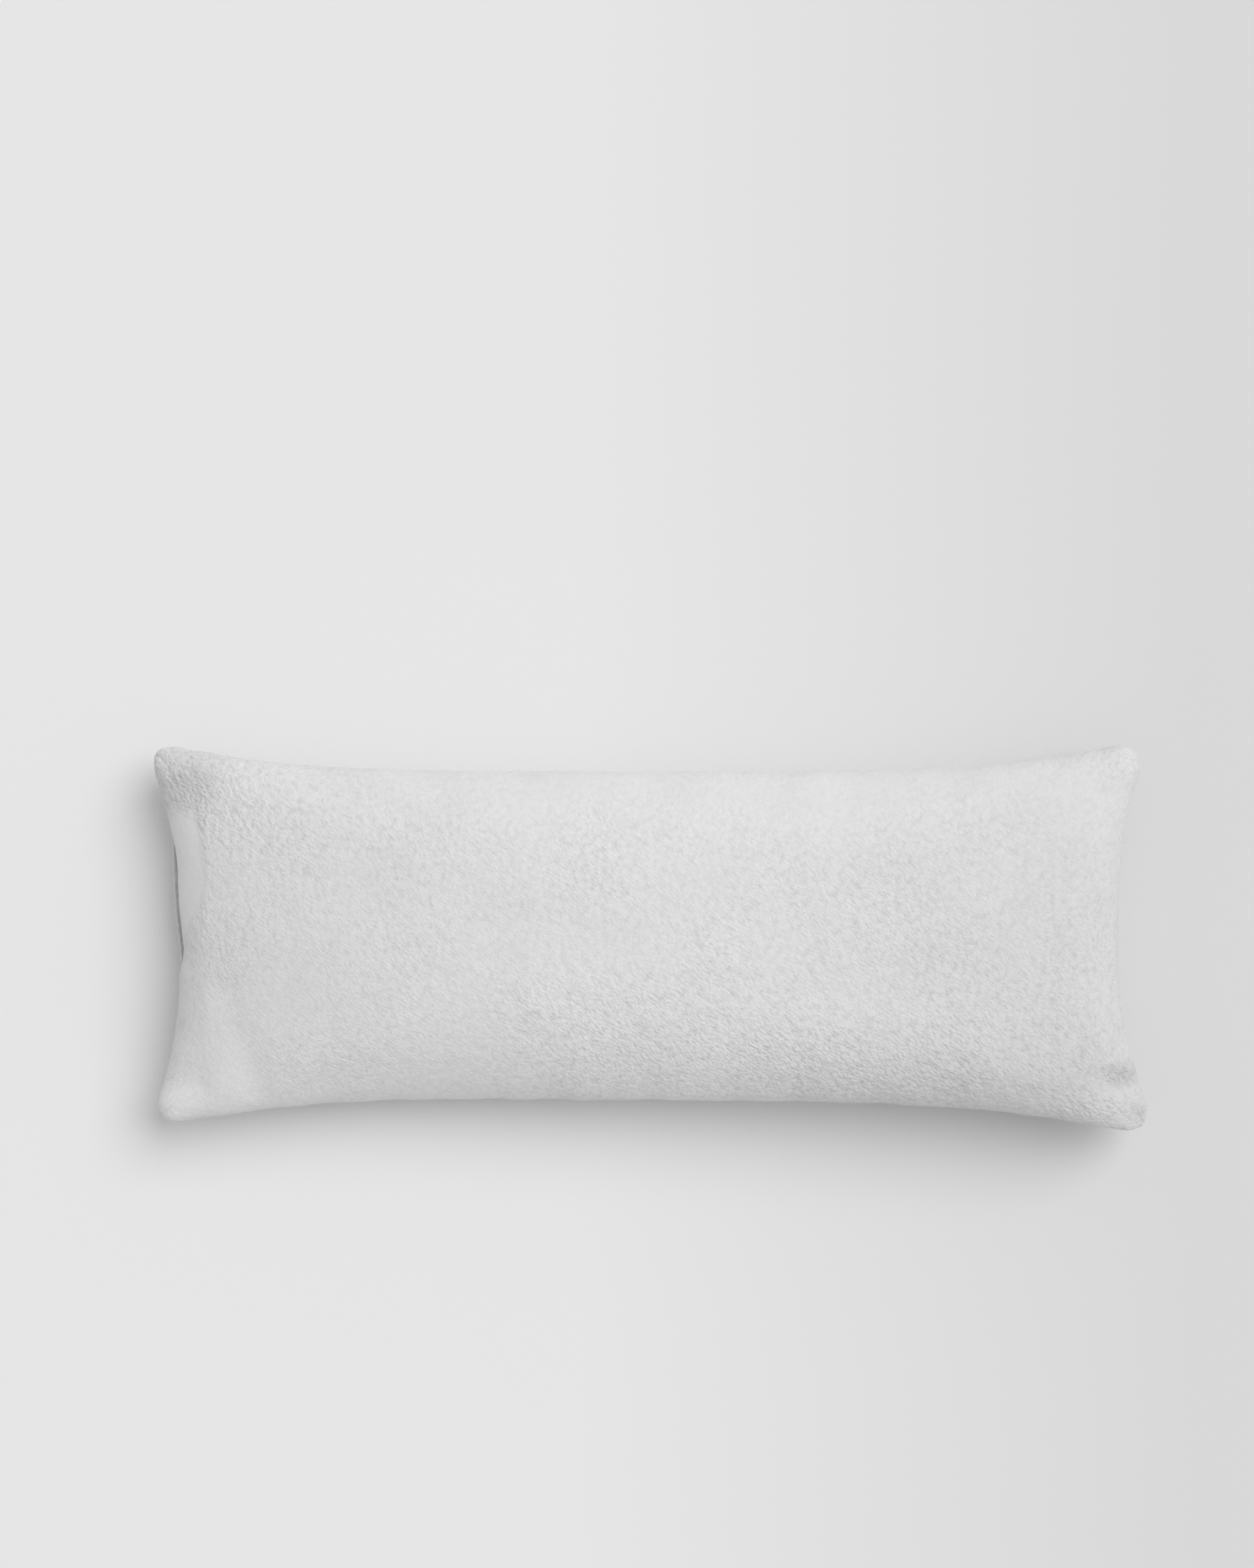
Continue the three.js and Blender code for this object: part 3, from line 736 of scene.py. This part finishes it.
def creased(grid, side):
    """The soft folds that lie in the upper face. The lower face has none."""
    if side < 0:
        return grid
    grid = grid.copy()
    x, y = grid[..., 0], grid[..., 1]
    for start, end, width, depth in CREASES:
        along = np.subtract(end, start)
        share = ((x - start[0]) * along[0] + (y - start[1]) * along[1]) / (along @ along)
        near = np.clip(share, 0, 1)
        away = np.hypot(x - start[0] - near * along[0], y - start[1] - near * along[1])
        room = np.clip((grid[..., 2] - SEAM_Z) / (4 * depth), 0, 1)
        grid[..., 2] -= depth * room * np.exp(-(away / width) ** 2)
    return grid


def laid(grid, side, floor):
    """A layer's face as it lies: creased above, lifted at its edges and pressed below."""
    grid = lifted(creased(grid, side))
    return grid if side > 0 else pressed(grid, floor)


def mouth_share(y):
    """How far the zip's mouth is open at y: 1 along the coil, 0 past the tape."""
    return 1 - smooth_step(np.abs(y), MOUTH_FULL, MOUTH_END)


def parted(grid, side):
    """The cover's edge, opened where the zip is."""
    grid = grid.copy()
    x, y, z = np.moveaxis(grid, 2, 0)
    at_end = x < ZIP_SIDE
    at_zip = mouth_share(y) * (x < 0)
    height = np.abs(z - SEAM_Z)
    grid[..., 2] = SEAM_Z + side * np.hypot(height, MOUTH * at_zip)
    ragged = LIP_ROLL * (0.5 + noise(y + 1, z, CURL, 81 + side))
    grid[..., 0] += ragged * at_zip * at_end * np.exp(-height / LIP_EDGE)
    out = np.exp(-((y - LIPS_MIDDLE) / LIPS_SPAN) ** 2 - (height / LIPS_REACH) ** 2)
    grid[..., 0] -= LIPS_OUT * out * at_end
    if side > 0:
        parting = smooth_step(y, *PARTING_START) * (1 - smooth_step(y, *PARTING_END))
        back = parting * np.exp(-(height / SETBACK_REACH) ** 2)
        grid[..., 0] += UPPER_LIP_SETBACK * back * at_end
    return grid


def rolled(grid, inward):
    """The cover's seam at the far end, rolled up and in so that it shows from above."""
    grid = grid.copy()
    height = np.abs(grid[..., 2] - SEAM_Z)
    share = np.exp(-(height / ROLL_REACH) ** 2) * smooth_step(grid[..., 0], *ROLL_ENDS)
    share *= 1 - smooth_step(np.abs(grid[..., 1]), *ROLL_WIDTH)
    grid[..., 0] -= share * inward
    grid[..., 2] += share * ROLL_UP
    return grid


def smooth_band(x, y):
    """The strip beside the zip whose pile is folded out of sight."""
    edge = -(HALF_LENGTH - END_BOW * (1 - np.abs(y / HALF_WIDTH) ** END_BOW_POWER))
    width = BAND_WIDTH * smooth_step(y, *BAND_TAPER)
    inside = 1 - smooth_step((x - edge) / np.maximum(width, 1e-4), *BAND_EDGE)
    return inside * (width > LIP_ROLL) * (1 - smooth_step(y, *BAND_TOP))


def pile_strength(x, y, side):
    """How ruffled the pile is, from place to place."""
    strength = NAP_EVEN + NAP_SPREAD * (noise(x, y, NAP_PATCH, 3) - 0.5)
    if side > 0:
        for centre, reach, gain in NAP:
            strength += gain * spot(x, y, centre, reach)
        strength *= 1 - BAND_CALM * smooth_band(x, y)
    return np.clip(strength, *NAP_LIMITS)


def nap_and_painted_light_tone(x, y, side):
    """How light the pile is painted, 1 being even: for the way it is brushed, for painted light and
    shade on the upper face, and for painted shade inside the zip's mouth.
    """
    tone = np.ones_like(x)
    if side > 0:
        for centre, reach, gain in NAP_AND_PAINTED_LIGHT_TONES:
            tone += gain * spot(x, y, centre, reach)
        tone += BAND_TONE * smooth_band(x, y)
    else:
        # Painted shade on the lower lip's turned edge inside the zip's mouth, in grains.
        grain = 0.5 + noise(x[0] + 1, y[0] + 1, ZIP_GRAIN, 91)
        tone[0] -= (1 - ZIP_SHADE) * mouth_share(y[0]) * grain
    return tone


def pile(columns, rows, side):
    """The heights of the curls and of the tufts over the cloth, each from 0 to 1."""
    flat_x, flat_y = np.meshgrid(np.linspace(0, PANEL_LENGTH, columns + 1),
                                 np.linspace(0, PANEL_WIDTH, rows + 1), indexing="ij")
    bend, reach = CURL_BEND * CURL, BEND_REACH * CURL
    bent_x = flat_x + bend * noise(flat_x, flat_y, reach, 11 + side)
    bent_y = flat_y + bend * noise(flat_x, flat_y, reach, 21 + side)
    along = bent_x * math.cos(CURL_LAY) + bent_y * math.sin(CURL_LAY)
    across = bent_y * math.cos(CURL_LAY) - bent_x * math.sin(CURL_LAY)
    small = curls(10 + along / CURL_STRETCH, 10 + across, CURL, 31 + side)
    big = noise(10 + flat_x, 10 + flat_y, TUFT, 41 + side)
    return np.clip(small, 0, 1), big


def fleece_panel(side, moved, material):
    """One panel: pile outside, plain backing inside."""
    which = "top" if side > 0 else "bottom"
    columns, rows = COLUMNS * FINE, ROWS * FINE
    outer = parted(form(columns, rows, side) + upsample(moved, FINE), side)
    outer = rolled(laid(outer, side, PRESSED_PILE), ROLL_IN)
    small, big = pile(columns, rows, side)
    strength = pile_strength(outer[..., 0], outer[..., 1], side)
    from_edge = np.minimum(outer_distance(columns), outer_distance(rows).T)
    seam = smooth_step(from_edge * PANEL_LENGTH / columns, 0, SEAM_GROOVE)
    height = PILE_BASE + (1 - PILE_BASE) * strength
    height *= seam * (CURL_HEIGHT * small + TUFT_HEIGHT * big)
    near_floor = 1 - smooth_step(outer[..., 2], PILE_ROOM, 4 * PILE_ROOM)
    height *= 1 - FLOOR_CRUSH * near_floor
    outer = outer + normals_of(outer, side) * height[..., None]
    outer[..., 2] = np.maximum(outer[..., 2], FLOOR_GAP)
    lining = tuple(size - FLEECE for size in COVER_SIZES[:2]) + COVER_SIZES[2:]
    inner = parted(form(COLUMNS, ROWS, side, FLEECE, lining) + moved, side)
    inner = rolled(laid(inner, side, FLEECE), 0)
    at_zip = mouth_share(inner[0, :, 1])
    inner[0, :, 0] += at_zip * (tape_low.x - TAPE_GAP - inner[0, :, 0])
    points, faces, rim = shell(outer, inner, side)
    piece = new_piece(f"fleece_{which}", points, faces, material, rim)
    calm = np.clip(1 - strength, 0, 1)
    keep(piece, "tip", small * (1 - calm) + CALM_TIP * calm, 0)
    keep(piece, "ruffle", strength, 1)
    # The inner points take the painted shade of the zip's mouth.
    keep(piece, "nap_and_painted_light", nap_and_painted_light_tone(outer[..., 0], outer[..., 1], side), ZIP_SHADE)
    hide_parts(f"cover_{which}_panel")


def keep(piece, name, values, inside):
    """Stores a number on each outer point of a panel, and one for all its inner points."""
    stored = np.full(len(piece.data.vertices), float(inside))
    stored[:values.size] = values.ravel()
    piece.data.attributes.new(name, "FLOAT", "POINT").data.foreach_set("value", stored)


def outer_distance(cells):
    """Each grid line's count of cells from the nearer edge, as a column."""
    steps = np.arange(cells + 1)
    return np.minimum(steps, cells - steps)[:, None].astype(float)


# ---- The insert ----

def outline(node, roundings, bows, ears):
    """A layer's outline, from its CAD solid: its half sizes, bows and ears."""
    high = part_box(node)[1]
    return (high.x + roundings[0], high.y + roundings[1], *bows, ears)


def ticking_panel(side, moved, material):
    """One cotton panel of the insert, slightly wrinkled."""
    which = "top" if side > 0 else "bottom"
    node = f"insert_{which}_panel"
    sizes = outline(node, INSERT_ROUNDINGS, INSERT_BOWS, INSERT_EARS)
    columns, rows = COLUMNS * INSERT_FINE, ROWS * INSERT_FINE
    lining = (sizes[0] - TICKING, sizes[1] - TICKING, *sizes[2:])
    outer = form(columns, rows, side, INSERT_WALL, sizes) + upsample(moved, INSERT_FINE)
    outer = laid(outer, side, INSERT_WALL)
    inner = form(COLUMNS, ROWS, side, INSERT_WALL + TICKING, lining) + moved
    inner = laid(inner, side, INSERT_WALL + TICKING)
    wrinkle = noise(outer[..., 0] + 1, 4 * outer[..., 1] + 2, WRINKLE_SIZE, 51 + side)
    outer = outer - normals_of(outer, side) * WRINKLE * wrinkle[..., None]
    points, faces, rim = shell(outer, inner, side)
    piece = new_piece(f"ticking_{which}", points, faces, material, rim)
    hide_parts(node)


def fibre_body(moved, material):
    """The fill: one lumpy body."""
    sizes = outline("fibre_fill", INSERT_ROUNDINGS, INSERT_BOWS, INSERT_EARS)
    columns, rows = COLUMNS * INSERT_FINE, ROWS * INSERT_FINE
    faces_of = {}
    for side in (1, -1):
        grid = form(columns, rows, side, FIBRE_WALL, sizes) + upsample(moved[side], INSERT_FINE)
        grid = laid(grid, side, FIBRE_WALL)
        x, y = grid[..., 0] + 1, grid[..., 1] + 1
        lumps = sum(depth * noise(x, y, size, 61 + 10 * k + side)
                    for k, (depth, size) in enumerate(LUMPS))
        faces_of[side] = grid - normals_of(grid, side) * lumps[..., None]
    faces_of[-1][[0, -1]] = faces_of[1][[0, -1]]
    faces_of[-1][:, [0, -1]] = faces_of[1][:, [0, -1]]
    points, faces = body_between(faces_of[1], faces_of[-1])
    piece = new_piece("fibre_body", points, faces, material)
    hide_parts("fibre_fill")


# ---- Seams, labels and zip ----

def seam_path(sizes, pitch, open_at_zip):
    """Points a stitch apart along a layer's seam, and the way out of the pillow at each."""
    t = np.linspace(-1, 1, 401)[:-1]
    one = np.ones_like(t)
    u = np.concatenate([t, one, -t, -one])
    v = np.concatenate([-one, t, one, -t])
    x, y = plan(u, v, *sizes)
    if open_at_zip:
        order = np.argsort(np.mod(np.arctan2(y, x) - math.pi, 2 * math.pi), kind="stable")
        x, y = x[order], y[order]
        sewn = ~((x < ZIP_SIDE) & (np.abs(y) < MOUTH_END))
        x, y = x[sewn], y[sewn]
    else:
        x, y = np.append(x, x[0]), np.append(y, y[0])
    along = np.concatenate([[0], np.cumsum(np.hypot(np.diff(x), np.diff(y)))])
    count = int(along[-1] / pitch)
    places = np.linspace(0, along[-1], count, endpoint=open_at_zip)
    x, y = np.interp(places, along, x), np.interp(places, along, y)
    out = np.stack([np.gradient(y), -np.gradient(x)], axis=1)
    return np.stack([x, y], axis=1), out / np.linalg.norm(out, axis=1, keepdims=True)


def overlocked_seam(name, node, roundings, bows, ears, material, of_cover):
    """A looper thread that zigzags round the cut edges along a seam."""
    low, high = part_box(node)
    within = [rounding - STITCH_WIDTH / 2 for rounding in roundings]
    middle, out = seam_path(outline(node, within, bows, ears), STITCH / 4, of_cover)
    phase = np.arange(len(middle)) * math.pi / 2
    across = np.cos(phase) * STITCH_WIDTH * STITCH_ACROSS
    up = np.sin(phase) * (high.z - low.z) * STITCH_UP
    path = np.concatenate([middle + out * across[:, None], SEAM_Z + up[:, None]], axis=1)
    path = lifted(path)
    if of_cover:
        path = rolled(path, 0)
    points, faces = tube(path, THREAD_RADIUS, THREAD_SIDES, (0.02, 0.01, 1), closed=not of_cover)
    piece = new_piece(name, points, faces, material)
    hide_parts(node)


def label(name, node, material):
    """A blank satin tab, slightly curled, one end sewn into the seam."""
    low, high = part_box(node)
    share_across, share_up = np.meshgrid(*[np.linspace(0, 1, cells + 1) for cells in LABEL_CELLS],
                                         indexing="ij")
    across = low.y + share_across * (high.y - low.y)
    up = low.z + share_up * (high.z - low.z)
    curl = 0.5 + 0.5 * np.sin(math.pi * (2 * share_across + share_up))
    front = low.x + (high.x - low.x - LABEL_THICKNESS) * curl
    faces_of = [np.stack([front + shift, across, up], axis=2) for shift in (LABEL_THICKNESS, 0)]
    points, faces, rim = shell(faces_of[0], faces_of[1], 1)
    piece = new_piece(name, points, faces, material, rim)
    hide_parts(node)


def coil(name, node, material):
    """One half of the chain: nylon wound into flattened turns."""
    low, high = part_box(node)
    centre, half = (low + high) / 2, (high - low) / 2
    turns = int((high.y - low.y - 2 * COIL_WIRE) / COIL_PITCH)
    angle = np.linspace(0, turns * 2 * math.pi, turns * COIL_STEPS + 1)
    path = np.stack([centre.x + (half.x - COIL_WIRE) * np.cos(angle),
                     low.y + COIL_WIRE + COIL_PITCH * angle / (2 * math.pi),
                     centre.z + (half.z - COIL_WIRE) * np.sin(angle)], axis=1)
    points, faces = tube(path, COIL_WIRE, COIL_SIDES, (0, 1, 0))
    piece = new_piece(name, points, faces, material)
    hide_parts(node)


def repaint(node, material):
    """A CAD piece whose shape is right keeps it, in a better material."""
    shown = bpy.data.objects[node]
    shown.data.materials.clear()
    shown.data.materials.append(material)


# ---- Scene ----

def key_light():
    """A big soft light, far off on the far side and towards the far end."""
    data = bpy.data.lights.new("key", "SUN")
    data.angle = KEY_SOFTNESS
    data.energy = KEY_STRENGTH
    light = bpy.data.objects.new("key", data)
    light.rotation_euler = Vector(KEY_FROM).to_track_quat("Z", "Y").to_euler()
    bpy.context.scene.collection.objects.link(light)


def studio():
    """A pale floor, one big soft light from the far side, and soft light from all round."""
    mesh = bpy.data.meshes.new("floor")
    corners = [(-FLOOR_HALF, -FLOOR_HALF, 0), (FLOOR_HALF, -FLOOR_HALF, 0),
               (FLOOR_HALF, FLOOR_HALF, 0), (-FLOOR_HALF, FLOOR_HALF, 0)]
    mesh.from_pydata(corners, [], [(0, 1, 2, 3)])
    mesh.materials.append(floor_material())
    floor = bpy.data.objects.new("floor", mesh)
    bpy.context.scene.collection.objects.link(floor)
    key_light()
    world = bpy.data.worlds.new("studio")
    world.use_nodes = True
    world.node_tree.nodes["Background"].inputs["Color"].default_value = (1, 1, 1, 1)
    world.node_tree.nodes["Background"].inputs["Strength"].default_value = AMBIENT
    bpy.context.scene.world = world
    bpy.context.scene.view_settings.view_transform = "Standard"


def camera():
    """Straight above the pillow."""
    data = bpy.data.cameras.new("camera")
    data.sensor_width = SENSOR
    data.lens = data.sensor_width * VIEW_DISTANCE / VIEW_FIELD
    made = bpy.data.objects.new("camera", data)
    made.location = (*VIEW_CENTRE, SEAM_Z + VIEW_DISTANCE)
    bpy.context.scene.collection.objects.link(made)
    bpy.context.scene.camera = made


def build():
    """Every piece of the pillow, from the fibre out to the zip."""
    moved = puckers()
    fleece, ticking, thread = fleece_material(), ticking_material(), thread_material()
    satin, metal = label_material(), metal_material()
    nylon, herringbone = coil_material(), tape_material()
    fibre_body(moved, fibre_material())
    for side in (1, -1):
        ticking_panel(side, moved[side], ticking)
    for side in (1, -1):
        fleece_panel(side, moved[side], fleece)
    overlocked_seam("cover_overlock", "cover_seam_thread", (END_ROUNDING, SIDE_ROUNDING),
                    (END_BOW, SIDE_BOW), EARS, thread, True)
    overlocked_seam("insert_overlock", "insert_seam_thread", INSERT_ROUNDINGS, INSERT_BOWS,
                    INSERT_EARS, thread, False)
    label("care_tab", "care_label", satin)
    label("insert_tab", "insert_label", satin)
    for half in ("upper", "lower"):
        coil(f"coil_{half}", f"zip_coil_{half}", nylon)
        repaint(f"zip_tape_{half}", herringbone)
        repaint(f"zip_top_stop_{half}", metal)
    for node in ("zip_bottom_stop", "zip_slider", "zip_pull_tab"):
        repaint(node, metal)


build()
studio()
camera()
